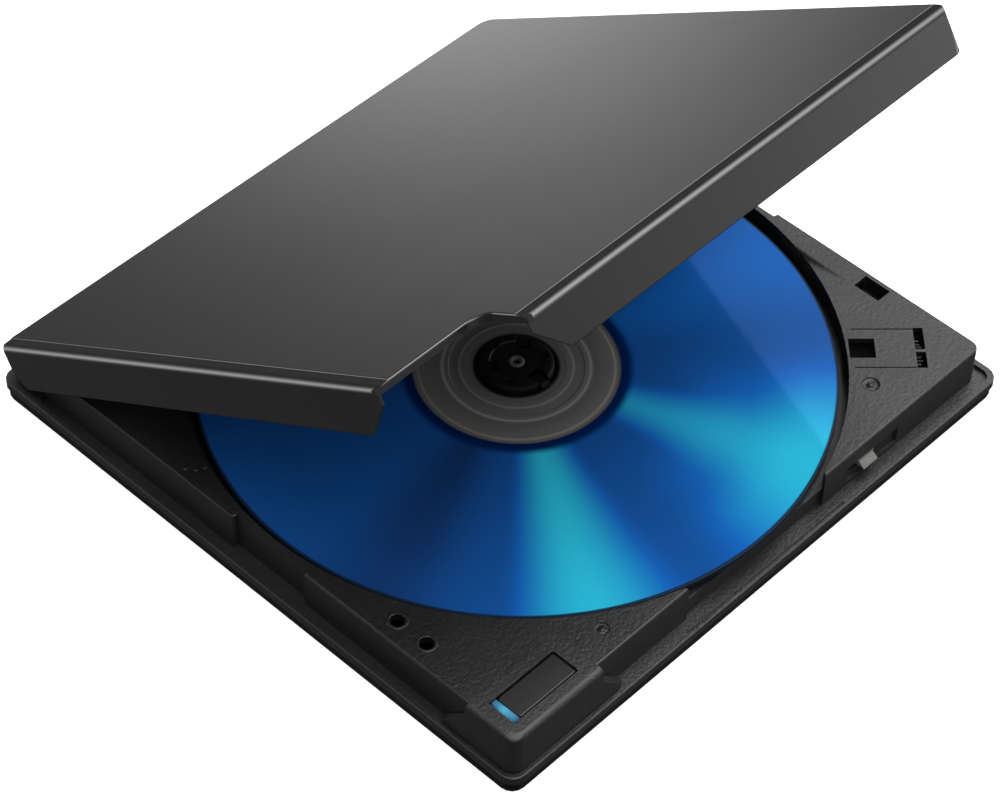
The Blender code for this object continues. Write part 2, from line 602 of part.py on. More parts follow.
def turntable():
    """The motor's bell with its shaft, and the hub that centres the disc."""
    profile = ((0, HUB_TOP), (6.4, HUB_TOP), (HUB_RADIUS, HUB_TOP - 0.9), (HUB_RADIUS, TURNTABLE_TOP),
               (TURNTABLE_RADIUS - 0.3, TURNTABLE_TOP), (TURNTABLE_RADIUS, TURNTABLE_TOP - 0.3),
               (TURNTABLE_RADIUS, 3.9), (TURNTABLE_RADIUS - 1.2, 3.9), (TURNTABLE_RADIUS - 1.2, 7.4),
               (0.85, 7.4), (0.85, 3.0), (0, 3.0))
    bell = turned("turntable", profile, (0, DISC_Y), "black_moulding", rotor, sides=36)
    for number in range(3):
        angle = 120.0 * number + 30.0
        slot = box(f"claw_slot_{number}", (3.6, -1.3, 9.9), (9.0, 1.3, 11.5), turn=angle)
        slot.location = Vector((0, DISC_Y, 0)) * MM + shift_of(rotor) * MM
        slot.parent = rotor
        cut(bell, slot)
    cut(bell, turned("hub_dish", [(5.2, 13), (5.2, 11.75), (2.0, 11.75), (2.0, 13)], (0, DISC_Y),
                     frame=rotor, sides=24, closed=True))
    cut(bell, rod("shaft_dimple", (0, DISC_Y, 11.6), (0, DISC_Y, 13), 0.9, frame=rotor, sides=16))
    pad = [(13.6, 9.1), (13.6, 8.8), (10.6, 8.8), (10.6, 9.1)]
    turned("turntable_pad", pad, (0, DISC_Y), "rubber", rotor, sides=36, closed=True)


def clamp_claws():
    """Three sprung claws in the hub, which snap over the disc's hole."""
    for number in range(3):
        angle = math.radians(120.0 * number + 30.0)
        axis = pivot(f"claw_{number + 1}_axis", (6.0 * math.cos(angle), DISC_Y + 6.0 * math.sin(angle), 10.7),
                     rotor)
        outline = ((-1.6, 10.2), (1.15, 10.2), (1.15, 10.75), (1.75, 10.95), (0.9, 11.25), (-1.6, 11.25))
        claw = prism(f"clamp_claw_{number + 1}", outline, -1.0, 1.0, "Y", "black_moulding")
        claw.parent = axis
        claw.location = Vector((0, 0, -10.7)) * MM
        claw.rotation_euler = (0, 0, angle)


def disc():
    """A standard 120 mm disc."""
    profile = [(DISC_RADIUS, DISC_TOP), (DISC_RADIUS, DISC_BOTTOM), (DISC_HOLE, DISC_BOTTOM),
               (DISC_HOLE, DISC_TOP)]
    turned("disc", profile, (0, DISC_Y), "disc_blue", rotor, sides=WIDE_ROUND, closed=True)


# ---------------------------------------------------------------- pickup drive


def damper_places():
    """Centres of the three rubber mounts, in the object's frame."""
    return [traverse_point(*spot) for spot in DAMPER_SPOTS]


def traverse_point(along, across):
    """A point of the pickup drive's frame in the object's frame."""
    angle = math.radians(PATH_ANGLE)
    return (along * math.cos(angle) - across * math.sin(angle),
            DISC_Y + along * math.sin(angle) + across * math.cos(angle))


def diagonal_point(along, across):
    """A point measured along the diagonal through the front right corner, in the object's frame."""
    angle = math.radians(-45.0)
    return (along * math.cos(angle) - across * math.sin(angle),
            along * math.sin(angle) + across * math.cos(angle))


def chassis():
    """The sheet-metal frame that carries spindle motor, rails and lead screw on three rubber mounts."""
    outline = ((-21, -20), (-8, -20), (-8, -19.2), (62, -19.2), (66.5, -14.7), (66.5, 15.0),
               (62, 19.5), (59.5, 24.5), (52.5, 24.5), (50.5, 19.2), (-21, 19.2))
    plate = prism("chassis_plate", outline, 5.4, 5.9, "Z", "sheet_steel", traverse)
    cut(plate, box("chassis_window", (9.0, -15.6, 0), (63.4, 15.6, 20), frame=traverse, corner=1.5, steps=2))
    cut(plate, rod("chassis_round", (0, 0, 0), (0, 0, 20), 14.9, frame=traverse, sides=32))
    for number, (x, y) in enumerate(DAMPER_SPOTS):
        cut(plate, rod(f"damper_hole_{number}", (x, y, 0), (x, y, 20), 1.9, frame=traverse))
        groove = [(2.7, 6.45), (2.7, 6.2), (1.55, 6.2), (1.55, 5.1), (2.7, 5.1), (2.7, 3.75), (1.2, 3.75),
                  (1.2, 6.45)]
        turned(f"rubber_mount_{number + 1}", groove, (x, y), "rubber", traverse, sides=16, closed=True)
    return plate


def mount_screws():
    """Shoulder screws through the rubber mounts into the tray."""
    for number, (x, y) in enumerate(damper_places()):
        profile = ((0, 7.0), (1.9, 7.0), (1.9, 6.65), (0.8, 6.65), (0.8, 3.6), (0.6, 3.4), (0.6, 2.5),
                   (0, 2.5))
        turned(f"mount_screw_{number + 1}", profile, (x, y), "steel", sides=12)


def rails():
    """Two parallel rails that the pickup slides on."""
    for name, side in (("near", -1), ("far", 1)):
        rod(f"guide_rail_{name}", (15.5, side * RAIL_Y, RAIL_Z), (66.0, side * RAIL_Y, RAIL_Z),
            RAIL_RADIUS, "steel", traverse, sides=16)


def sled_drive():
    """The small motor, its lead screw and the bearing at the screw's outer end."""
    can = rod("sled_motor", (-6.0, SCREW_Y, SCREW_Z), (6.0, SCREW_Y, SCREW_Z), 2.4, "die_cast", traverse)
    cut(can, rod("sled_motor_bore", (4.0, SCREW_Y, SCREW_Z), (8.0, SCREW_Y, SCREW_Z), 0.9, frame=traverse,
                 sides=12))
    bearing = box("screw_bearing", (60.5, SCREW_Y - 1.9, 2.2), (62.0, SCREW_Y + 1.9, 6.6), "die_cast",
                  traverse)
    cut(bearing, rod("bearing_hole", (59.0, SCREW_Y, SCREW_Z), (65.0, SCREW_Y, SCREW_Z), 0.9, frame=traverse,
                     sides=12))
    axis = pivot("lead_screw_axis", (30.0, SCREW_Y, SCREW_Z), traverse)
    shaft = rod("lead_screw", (7.0, SCREW_Y, SCREW_Z), (60.1, SCREW_Y, SCREW_Z), SCREW_RADIUS, "steel", axis,
                sides=16)
    join(shaft, rod("screw_ends", (4.4, SCREW_Y, SCREW_Z), (61.8, SCREW_Y, SCREW_Z), 0.6, frame=axis,
                    sides=12))


def pickup():
    """The sled with the laser unit, its lens holder and lens."""
    inner, outer = LENS_INNER - 8.5, LENS_INNER + 9.0
    body = box("pickup_body", (inner, -14.8, 2.3), (outer, 14.8, 5.2), "die_cast", sled, corner=1.5, steps=2)
    join(body, box("pickup_bridge", (inner + 2.5, -11.0, 4.5), (outer - 4.2, 11.0, 6.9), frame=sled,
                   corner=1.0, steps=2))
    middle = LENS_INNER
    for name, low, high, end in (("far", 14.0, 19.3, 5.0), ("near", -24.6, -14.0, 2.0)):
        join(body, box(f"rail_lug_{name}", (middle - 6, low, 2.45), (middle + end, high, 5.1), frame=sled))
    for side in (-1, 1):
        across = side * RAIL_Y
        cut(body, rod(f"lug_bore_{side}", (middle - 9, across, RAIL_Z), (middle + 9, across, RAIL_Z),
                      RAIL_RADIUS + 0.2, frame=sled, sides=16))
    cut(body, box("nut_groove", (middle - 9, SCREW_Y - 1.5, SCREW_Z - 1.35), (middle + 9, SCREW_Y + 1.5, 6),
                  frame=sled))
    cut(body, box("lens_well", (middle - 4.6, -6.0, 3.6), (middle + 4.6, 6.0, 8), frame=sled))
    axis = pivot("lens_axis", (LENS_INNER, 0, 6.5), sled)
    holder = box("lens_holder", (middle - 3.4, -4.4, 5.2), (middle + 3.4, 4.4, 7.4), "black_moulding", axis,
                 corner=0.8, steps=2)
    cut(holder, rod("lens_seat", (middle, 0, 4), (middle, 0, 9), 2.3, frame=axis))
    profile = ((0, 8.0), (0.9, 7.85), (1.6, 7.4), (2.0, 7.0), (2.0, 6.4), (0, 6.4))
    turned("objective_lens", profile, (middle, 0), "optical_glass", axis, sides=ROUND)


# ---------------------------------------------------------------- electronics and latch


def boards():
    """The main board in the back left corner with its chips, and the port at its back edge."""
    outline = ((-61.0, -20.0), (-61.0, 55.8), (8.0, 55.8), (8.0, 49.0))
    board = prism("main_board", outline, 3.4, 4.2, "Z", "board_green")
    x, y = CASE_SCREWS["back_left"]
    cut(board, rod("board_hole", (x, y, 0), (x, y, 20), 3.4))
    box("controller_chip", (-44.0, 22.0, 4.5), (-32.0, 34.0, 5.4), "chip_black", rim=0.15)
    box("driver_chip", (-56.0, 6.0, 4.5), (-48.0, 14.0, 5.3), "chip_black", rim=0.15)
    box("memory_chip", (-28.0, 38.0, 4.5), (-18.0, 44.0, 5.3), "chip_black", rim=0.15)
    port = box("data_port", (PORT_X - PORT_HALF, 56.2, PORT_LOW), (PORT_X + PORT_HALF, 66.0, PORT_HIGH),
               "steel")
    cut(port, box("port_mouth", (PORT_X - PORT_HALF + 0.35, 58.5, PORT_LOW + 0.35),
                  (PORT_X + PORT_HALF - 0.35, 70.0, PORT_HIGH - 0.35)))
    join(port, box("port_tongue", (PORT_X - 3.2, 57.5, 3.15), (PORT_X + 3.2, 64.5, 3.85)))
    film = ((-12.0, 24.2), (-12.0, 29.0), (24.0, 29.0), (24.0, 24.2))
    prism("pickup_film", film, 2.0, 2.2, "Z", "amber_film", traverse)


def latch_parts():
    """The sliding latch with its plunger, the release coil that pulls it, and the lid switch."""
    axis = pivot("latch_axis", (30.9, -62.0, 7.5))
    left, right = LATCH_X
    hook = ((-64.4, TAB_Z[0]), (-61.2, TAB_Z[0]), (-61.2, 4.7), (-60.3, 4.7), (-60.3, TAB_Z[1]),
            (-64.4, TAB_Z[1]))
    slider = prism("latch_slider", hook, left, right, "X", "grey_moulding", axis)
    join(slider, box("latch_bar", (left + 1.0, -61.1, 4.8), (43.0, -60.4, 6.2), frame=axis))
    join(slider, box("latch_link", (41.4, -60.8, 4.9), (42.9, -56.4, 6.1), frame=axis))
    rod("latch_plunger", (43.3, -57.8, 5.4), (51.5, -57.8, 5.4), 1.1, "steel", axis, sides=16)
    coil = box("release_coil", (46.5, -61.0, 2.4), (58.5, -54.6, 8.6), "brass", corner=0.6, steps=2)
    cut(coil, rod("coil_bore", (45.0, -57.8, 5.4), (52.0, -57.8, 5.4), 1.45, sides=16))
    box("lid_switch_board", (65.9, -2.9, 8.1), (74.0, 5.2, 8.9), "board_green", turn=-45.0)
    box("lid_switch", (66.0, -2.0, 9.2), (69.2, 2.0, 10.2), "chip_black", turn=-45.0, rim=0.2)


traverse = pivot("pickup_drive_frame", (0, DISC_Y, 0), turn=(0, 0, PATH_ANGLE), own_frame=True)
sled = pivot("pickup_axis", (LENS_INNER, 0, RAIL_Z), traverse)
rotor = pivot("spindle_axis", (0, DISC_Y, 8.0))
lid = pivot("lid_hinge_axis", (0, HINGE_Y, HINGE_Z), turn=(-LID_ANGLE, 0, 0))

bottom_case()
deck_frame()
feet_and_screws()
button_bezel()
open_button()
light_pipe()
button_board()
lid_cover()
lid_liner()
lid_fittings()
hinge_pins()
spindle_motor()
turntable()
clamp_claws()
disc()
chassis()
mount_screws()
rails()
sled_drive()
pickup()
boards()
latch_parts()
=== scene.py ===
"""Looks of the portable disc drive, built round its CAD frame.

Sizes and places of the drive are in millimetres, in the frame of the CAD, and MM turns them into metres. The
camera's distance and aim, the floor and the scale of noise go by metres.
"""

import json
import math

import bmesh
import bpy
from mathutils import Matrix, Vector

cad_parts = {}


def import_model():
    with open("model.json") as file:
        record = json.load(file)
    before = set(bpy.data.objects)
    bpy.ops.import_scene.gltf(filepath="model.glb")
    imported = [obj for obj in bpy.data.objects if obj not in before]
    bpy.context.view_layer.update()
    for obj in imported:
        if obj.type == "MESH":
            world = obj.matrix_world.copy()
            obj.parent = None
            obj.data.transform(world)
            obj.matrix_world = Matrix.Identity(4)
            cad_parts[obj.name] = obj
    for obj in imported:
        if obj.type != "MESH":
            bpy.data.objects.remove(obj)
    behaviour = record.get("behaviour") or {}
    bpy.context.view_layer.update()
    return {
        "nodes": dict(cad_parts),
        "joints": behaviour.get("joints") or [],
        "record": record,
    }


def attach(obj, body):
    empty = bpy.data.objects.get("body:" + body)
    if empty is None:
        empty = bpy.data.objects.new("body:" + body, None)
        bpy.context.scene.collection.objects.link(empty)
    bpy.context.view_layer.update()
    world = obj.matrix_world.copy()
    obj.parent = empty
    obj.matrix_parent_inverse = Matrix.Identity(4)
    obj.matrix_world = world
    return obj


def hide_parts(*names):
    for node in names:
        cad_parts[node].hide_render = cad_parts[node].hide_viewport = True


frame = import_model()
NODES = frame["nodes"]
MM = 0.001

# Camera, as a direction from the object, its roll and its distance
CAMERA_AZIMUTH = -47.354
CAMERA_ELEVATION = 47.661
CAMERA_ROLL = 1.654
CAMERA_DISTANCE = 0.62702
CAMERA_AIM = (-0.001496, -0.001058, 0.0)
CAMERA_LENS = 119.88

# Lid, in millimetres and in the closed position
LID_HALF = 65.5
LID_FRONT = -66.15
LID_BACK = 66.2
LID_TOP = 14.8
LID_UNDER = 14.0
LID_WALL = 1.2
LID_LIP = 5.75
LID_CORNER = 3.0
NOTCH_X = -41.1
NOTCH_Y = -53.6
NOTCH_RADIUS = 3.6
NOTCH_RIM = 13.3
SLANT_TOP = 11.6
EDGE_ROUND = 0.5  # rounding of the lid's upper edge at its back and right
FLAT_AREA = 60.0  # in mm2; larger faces than this are shaded flat
# Lid's front and left edge, a small step down and then an arc: distance in from the side, drop from the top
EDGE_STEP = ((3.9, -0.3), (3.8, 0.0), (3.72, 0.015), (3.66, 0.06), (3.6, 0.12), (3.54, 0.14))
ARC_START = (2.2, 0.25)
ARC_RADII = (1.65, 1.4)  # up to 45 degrees of tilt, and beyond it
ARC_TILTS = (5, 85)

# Light: the dome's own strength, and lobes of azimuth from +Y towards +X, elevation and width in degrees, and
# strength
DOME = 0.11
LOBES = ((38.0, -19.0, 4.0, 3.7), (85.0, 57.0, 16.0, 4.2), (-24.0, -5.0, 9.0, 3.0),
         (114.0, 1.0, 12.0, 3.4), (136.0, 13.0, 5.0, 0.9), (205.0, 66.0, 20.0, 2.9),
         (-20.0, 48.0, 9.0, 0.9))
FLOOR_GLOW = 0.8

# Deck
DECK_TOP = 12.5
CORNER_TURN = Matrix.Rotation(math.radians(-45), 4, "Z")  # from +X to the deck's front right corner
COMB_AT = 76.9  # how far out from the middle the comb's teeth begin
COMB_TEETH = ((0.35, 1.25, 0.3), (1.0, 1.0, 0.25), (1.9, 0.8, 0.25), (-2.2, 1.0, 0.3), (-3.1, 1.2, 0.3),
              (-4.0, 0.8, 0.25))  # place along the comb, length and width
MOULD_MARKS = ((-61.5, 20.0), (-60.4, 18.4), (-58.9, 17.7))
DISHES = ((41.5, -54.4, 1.75, 0.4), (-35.8, -58.1, 1.5, 0.25))  # place, radius and depth
COLLAR_X = -59.5
COLLAR_Y = (-31.9, -39.0)

# Button block
BLOCK_LOW = (-65.5, -65.5)
BLOCK_HIGH = (-36.5, -46.5)
BLOCK_CORNER = 2.6
BLOCK_BOTTOM = 5.3
BLOCK_TOP = 14.5
BLOCK_ROUNDING = (1.3, 1.1)  # in from the side, and down from the top

# Disc
DISC_CENTRE = Vector((0.0, -3.6, 0.0))
DISC_RADIUS = 60.0
DISC_LOW = 9.4
DISC_HIGH = 10.6
# Painted highlights and painted shade on the disc, as streaks that fan out across it: angle from +X, half
# width at the hub and at the rim, lightness at both. The light streaks are painted rainbow glints of the
# recording layer, and the dark one near -160 degrees is the lid's shade painted on.
DISC_PAINTED_LIGHT_STREAKS = ((-160, 20, 20, 0.02, 0.05), (-124, 18, 20, 1.0, 1.0), (-70, 16, 32, 0.7, 0.95),
                (-14, 22, 22, 0.3, 0.3), (54, 30, 30, 0.4, 0.45), (108, 22, 22, 0.2, 0.25))
DISC_BETWEEN = 0.16  # lightness between the streaks
# Colours for the painted lightness, from dark navy in the painted shade to cyan in the painted highlights
DISC_TONES = ((0.0, (0.01, 0.04, 0.16)), (0.3, (0.01, 0.14, 0.55)), (1.0, (0.03, 0.57, 0.8)))
# Where the blue layer is, by radius as a share of the disc's
DISC_LAYER = ((0.345, (0, 0, 0)), (0.375, (1, 1, 1)), (0.988, (1, 1, 1)), (0.993, (0, 0, 0)))
# Colours outside the blue, by radius as a share of the disc's: the clear middle's thin rings, then the rim
DISC_RINGS = ((0.0, (0.01, 0.01, 0.01)), (0.132, (0.01, 0.01, 0.01)), (0.14, (0.12, 0.12, 0.12)),
              (0.172, (0.13, 0.13, 0.13)), (0.177, (0.24, 0.24, 0.24)), (0.183, (0.12, 0.12, 0.12)),
              (0.222, (0.14, 0.14, 0.14)), (0.231, (0.28, 0.28, 0.28)), (0.24, (0.12, 0.12, 0.12)),
              (0.3, (0.15, 0.15, 0.15)), (0.306, (0.3, 0.26, 0.22)), (0.312, (0.16, 0.16, 0.16)),
              (0.32, (0.13, 0.13, 0.13)), (0.327, (0.0, 0.015, 0.09)), (0.36, (0.0, 0.02, 0.12)),
              (0.985, (0.01, 0.03, 0.07)), (1.0, (0.01, 0.02, 0.04)))


# ---------------------------------------------------------------- small helpers


def new_object(name, mesh):
    """Put a mesh in the scene."""
    obj = bpy.data.objects.new(name, mesh)
    bpy.context.scene.collection.objects.link(obj)
    return obj


def mesh_from(name, work):
    """Close an edited mesh whose sizes are in millimetres."""
    bmesh.ops.scale(work, vec=(MM, MM, MM), verts=work.verts)
    bmesh.ops.recalc_face_normals(work, faces=work.faces)
    mesh = bpy.data.meshes.new(name)
    work.to_mesh(mesh)
    work.free()
    return mesh


def loft(loops, closed_ends=True):
    """A skin through loops that have the same number of points."""
    work = bmesh.new()
    rings = [[work.verts.new(point) for point in loop] for loop in loops]
    count = len(rings[0])
    for lower, upper in zip(rings, rings[1:]):
        for i in range(count):
            j = (i + 1) % count
            work.faces.new((lower[i], lower[j], upper[j], upper[i]))
    if closed_ends:
        work.faces.new(reversed(rings[0]))
        work.faces.new(rings[-1])
    return work


def revolve(name, profile, steps, centre=DISC_CENTRE, closed=False):
    """A turned piece about Z through centre, from (radius, height) points in millimetres."""
    work = bmesh.new()
    rings = []
    for radius, height in profile:
        if radius == 0:
            rings.append([work.verts.new((centre.x, centre.y, height))])
            continue
        ring = []
        for step in range(steps):
            angle = math.tau * step / steps
            ring.append(work.verts.new((centre.x + radius * math.cos(angle),
                                        centre.y + radius * math.sin(angle), height)))
        rings.append(ring)
    pairs = list(zip(rings, rings[1:])) + ([(rings[-1], rings[0])] if closed else [])
    for first, second in pairs:
        for i in range(steps):
            j = (i + 1) % steps
            if len(first) == 1:
                work.faces.new((first[0], second[j], second[i]))
            elif len(second) == 1:
                work.faces.new((first[i], first[j], second[0]))
            else:
                work.faces.new((first[i], first[j], second[j], second[i]))
    return new_object(name, mesh_from(name, work))


def rounded(corners, steps=6):
    """An outline of (x, y, radius) corners with right angles, as a list of points."""
    points = []
    count = len(corners)
    for i, (x, y, radius) in enumerate(corners):
        here = Vector((x, y))
        before = (here - Vector(corners[i - 1][:2])).normalized()
        after = (Vector(corners[(i + 1) % count][:2]) - here).normalized()
        centre = here - before * radius + after * radius
        for step in range(steps + 1):
            angle = math.pi / 2 * step / steps
            points.append(centre - after * radius * math.cos(angle) + before * radius * math.sin(angle))
    return points


def block(name, low, high, corner=0.0):
    """A box used as a cutter or as a piece, in millimetres."""
    (x0, y0, z0), (x1, y1, z1) = low, high
    corners = ((x1, y0, corner), (x1, y1, corner), (x0, y1, corner), (x0, y0, corner))
    outline = rounded(corners, 6 if corner else 1)
    work = loft([[(x, y, z) for x, y in outline] for z in (z0, z1)])
    bmesh.ops.remove_doubles(work, verts=work.verts, dist=1e-5)
    return new_object(name, mesh_from(name, work))


def extruded(name, outline, low, high, along):
    """An outline of (X, Z) or (Y, Z) pairs pushed along Y or X."""
    order = {"Y": lambda a, b, c: (a, c, b), "X": lambda a, b, c: (c, a, b)}[along]
    work = loft([[order(a, b, level) for a, b in outline] for level in (low, high)])
    return new_object(name, mesh_from(name, work))


def boolean(obj, other, operation):
    """Cut or join another mesh, and remove it."""
    step = obj.modifiers.new(other.name, "BOOLEAN")
    step.operation = operation
    step.solver = "EXACT"
    step.object = other
    applied(obj)
    bpy.data.objects.remove(other, do_unlink=True)


def applied(obj):
    """Make the modifiers' result the object's mesh."""
    bpy.context.view_layer.update()
    mesh = bpy.data.meshes.new_from_object(obj.evaluated_get(bpy.context.evaluated_depsgraph_get()))
    obj.modifiers.clear()
    obj.data = mesh


def bevelled(obj, width, segments=3, angle=40):
    """Round the sharp edges by a width in millimetres."""
    step = obj.modifiers.new("rounding", "BEVEL")
    step.width = width * MM
    step.segments = segments
    step.limit_method = "ANGLE"
    step.angle_limit = math.radians(angle)
    step.miter_outer = "MITER_ARC"
    applied(obj)


def smooth(obj, angle=32, flat=None):
    """Shade smooth, keep the edges sharper than an angle, and keep faces above an area in mm2 quite flat."""
    obj.data.shade_smooth()
    obj.data.set_sharp_from_angle(angle=math.radians(angle))
    if flat is not None:
        work = bmesh.new()
        work.from_mesh(obj.data)
        for edge in work.edges:
            bent = len(edge.link_faces) == 2 and edge.calc_face_angle() > math.radians(0.5)
            if bent and max(face.calc_area() for face in edge.link_faces) > flat * MM * MM:
                edge.smooth = False
        work.to_mesh(obj.data)
        work.free()
    step = obj.modifiers.new("normals", "WEIGHTED_NORMAL")
    step.mode = "FACE_AREA"
    step.keep_sharp = True
    applied(obj)


def finished(obj, material, body, slot, *nodes):
    """Give a piece its material and its body, and hide the CAD nodes that it stands for. The slot is not
    used.
    """
    obj.data.materials.clear()
    obj.data.materials.append(material)
    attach(obj, body)
    if nodes:
        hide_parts(*nodes)
    return obj


def softened(node, name, width, segments=2, angle=35, room=2.2, chosen=None):
    """A copy of a CAD node with its flat faces merged and its sharp edges rounded.

    Edges without room for it stay sharp, and so do those whose middle, in mm, a given test turns down.
    """
    mesh = NODES[node].data.copy()
    mesh.materials.clear()
    work = bmesh.new()
    work.from_mesh(mesh)
    bmesh.ops.remove_doubles(work, verts=work.verts, dist=2e-6)
    bmesh.ops.dissolve_limit(work, angle_limit=math.radians(0.4), verts=work.verts, edges=work.edges)
    weight = work.edges.layers.float.new("bevel_weight_edge")
    for edge in work.edges:
        sharp = len(edge.link_faces) == 2 and edge.calc_face_angle() > math.radians(angle)
        roomy = all(narrowest(face) > room * width * MM for face in edge.link_faces)
        middle = (edge.verts[0].co + edge.verts[1].co) / (2 * MM)
        if sharp and roomy and (chosen is None or chosen(*middle)):
            edge[weight] = 1.0
    work.to_mesh(mesh)
    obj = new_object(name, mesh)
    step = obj.modifiers.new("rounding", "BEVEL")
    step.width = width * MM
    step.segments = segments
    step.limit_method = "WEIGHT"
    step.use_clamp_overlap = chosen is None
    applied(obj)
    work.free()
    work = bmesh.new()
    work.from_mesh(obj.data)
    bmesh.ops.remove_doubles(work, verts=work.verts, dist=1e-6)
    work.to_mesh(obj.data)
    work.free()
    smooth(obj, flat=FLAT_AREA)
    return obj


def narrowest(face):
    """Roughly how wide a face is at its narrowest: its area over its longest edge."""
    return face.calc_area() / max(edge.calc_length() for edge in face.edges)


# ---------------------------------------------------------------- materials


def shader_of(name, color, roughness, metallic=0.0, specular=0.5, coat=0.0, coat_roughness=0.1):
    """A new material and its Principled shader, with the values that are the same all over it."""
    made = bpy.data.materials.new(name)
    made.use_nodes = True
    shader = made.node_tree.nodes["Principled BSDF"]
    shader.inputs["Base Color"].default_value = (*color, 1.0)
    shader.inputs["Roughness"].default_value = roughness
    shader.inputs["Metallic"].default_value = metallic
    shader.inputs["Specular IOR Level"].default_value = specular
    shader.inputs["Coat Weight"].default_value = coat
    shader.inputs["Coat Roughness"].default_value = coat_roughness
    return made, shader


def node(material, kind, **values):
    """Add a shader node, setting its properties and its inputs by name."""
    made = material.node_tree.nodes.new(kind)
    for key, value in values.items():
        if hasattr(made, key):
            setattr(made, key, value)
        else:
            made.inputs[key.replace("_", " ").title()].default_value = value
    return made


def link(material, output, socket):
    """Join an output to an input."""
    material.node_tree.links.new(output, socket)


def noise(material, scale, detail=2.0, stretch=None):
    """Noise in the piece's own coordinates, with features about 1/scale metres apart."""
    made = node(material, "ShaderNodeTexNoise", scale=scale, detail=detail)
    place = node(material, "ShaderNodeTexCoord")
    if stretch:
        mapping = node(material, "ShaderNodeMapping")
        mapping.inputs["Scale"].default_value = stretch
        link(material, place.outputs["Object"], mapping.inputs["Vector"])
        link(material, mapping.outputs["Vector"], made.inputs["Vector"])
    else:
        link(material, place.outputs["Object"], made.inputs["Vector"])
    return made.outputs["Fac"]


def remap(material, value, low, high, start=0.3, end=0.7):
    """Spread a 0 to 1 value between two numbers."""
    made = node(material, "ShaderNodeMapRange")
    made.inputs["From Min"].default_value = start
    made.inputs["From Max"].default_value = end
    made.inputs["To Min"].default_value = low
    made.inputs["To Max"].default_value = high
    link(material, value, made.inputs["Value"])
    return made.outputs["Result"]


def tint(material, value, dark, light):
    """Blend two colours by a value."""
    made = node(material, "ShaderNodeMix", data_type="RGBA")
    colors = [socket for socket in made.inputs if socket.type == "RGBA"]
    colors[0].default_value = (*dark, 1.0)
    colors[1].default_value = (*light, 1.0)
    link(material, value, made.inputs["Factor"])
    return next(socket for socket in made.outputs if socket.type == "RGBA")


def bump(material, shader, height, strength, depth):
    """Drive the surface's bump by a height, at a depth in millimetres."""
    made = node(material, "ShaderNodeBump", strength=strength)
    made.inputs["Distance"].default_value = depth * MM
    link(material, height, made.inputs["Height"])
    link(material, made.outputs["Normal"], shader.inputs["Normal"])


def moulded(name, color, roughness, grain=1900.0, depth=0.035, spread=0.35, specular=0.4):
    """Plastic with a fine moulded texture, slightly uneven in colour and gloss."""
    made, shader = shader_of(name, color, roughness, specular=specular)
    fine = noise(made, grain, 3.0)
    broad = noise(made, 45.0, 2.0)
    dark = tuple(c * (1 - spread) for c in color)
    light = tuple(c * (1 + spread) for c in color)
    link(made, tint(made, remap(made, fine, 0.0, 1.0), dark, light), shader.inputs["Base Color"])
    link(made, remap(made, broad, roughness - 0.05, roughness + 0.06), shader.inputs["Roughness"])
    bump(made, shader, fine, 1.0, depth)
    return made


def metal(name, color, roughness, stretch=(1, 1, 1), grain=700.0, depth=0.004):
    """Metal with fine marks drawn out along one direction."""
    made, shader = shader_of(name, color, roughness, metallic=1.0)
    marks = noise(made, grain, 4.0, stretch)
    dark = tuple(c * 0.82 for c in color)
    link(made, tint(made, remap(made, marks, 0.0, 1.0), dark, color), shader.inputs["Base Color"])
    link(made, remap(made, marks, roughness - 0.07, roughness + 0.1), shader.inputs["Roughness"])
    bump(made, shader, marks, 0.6, depth)
    return made


def lid_paint():
    """Dark grey metallic paint under a thin satin coat, slightly uneven in tone and gloss."""
    made, shader = shader_of("lid_paint_finish", (0.09, 0.09, 0.09), 0.2, metallic=0.9, coat=0.15,
                             coat_roughness=0.2)
    cloud = noise(made, 25.0, 2.0)
    link(made, tint(made, remap(made, cloud, 0.0, 1.0), (0.088, 0.088, 0.088), (0.092, 0.092, 0.092)),
         shader.inputs["Base Color"])
    link(made, remap(made, cloud, 0.196, 0.204), shader.inputs["Roughness"])
    return made


# ---------------------------------------------------------------- camera, floor and light


def camera():
    """The camera at the reference view."""
    azimuth, elevation, roll = (math.radians(a) for a in (CAMERA_AZIMUTH, CAMERA_ELEVATION, CAMERA_ROLL))
    back = Vector((math.sin(azimuth) * math.cos(elevation), -math.cos(azimuth) * math.cos(elevation),
                   math.sin(elevation)))
    right = (-back).cross(Vector((0, 0, 1))).normalized()
    up = right.cross(-back)
    across = math.cos(roll) * right + math.sin(roll) * up
    upward = -math.sin(roll) * right + math.cos(roll) * up
    data = bpy.data.cameras.new("camera")
    data.lens = CAMERA_LENS
    data.sensor_width = 36.0
    data.clip_start = 0.01
    data.clip_end = 50.0
    made = new_object("camera", data)
    turn = Matrix((across, upward, back)).transposed().to_4x4()
    made.matrix_world = Matrix.Translation(Vector(CAMERA_AIM) + CAMERA_DISTANCE * back) @ turn
    bpy.context.scene.camera = made


def floor():
    """A plain pale floor, which the object neither mirrors nor is lit by."""
    work = bmesh.new()
    bmesh.ops.create_grid(work, x_segments=2, y_segments=2, size=6.0)
    mesh = bpy.data.meshes.new("floor")
    work.to_mesh(mesh)
    work.free()
    made = new_object("floor", mesh)
    made.visible_glossy = False
    made.visible_diffuse = False
    made.visible_shadow = False
    material, shader = shader_of("floor_paper", (0.8, 0.8, 0.8), 0.9, specular=0.0)
    link(material, tint(material, remap(material, noise(material, 8.0), 0.0, 1.0), (0.8, 0.8, 0.8),
                        (0.82, 0.82, 0.82)), shader.inputs["Base Color"])
    shader.inputs["Emission Color"].default_value = (1.0, 1.0, 1.0, 1.0)
    shader.inputs["Emission Strength"].default_value = FLOOR_GLOW
    mesh.materials.append(material)


def direction(azimuth, elevation):
    """A unit vector, with azimuth from +Y towards +X."""
    a, e = math.radians(azimuth), math.radians(elevation)
    return Vector((math.sin(a) * math.cos(e), math.cos(a) * math.cos(e), math.sin(e)))


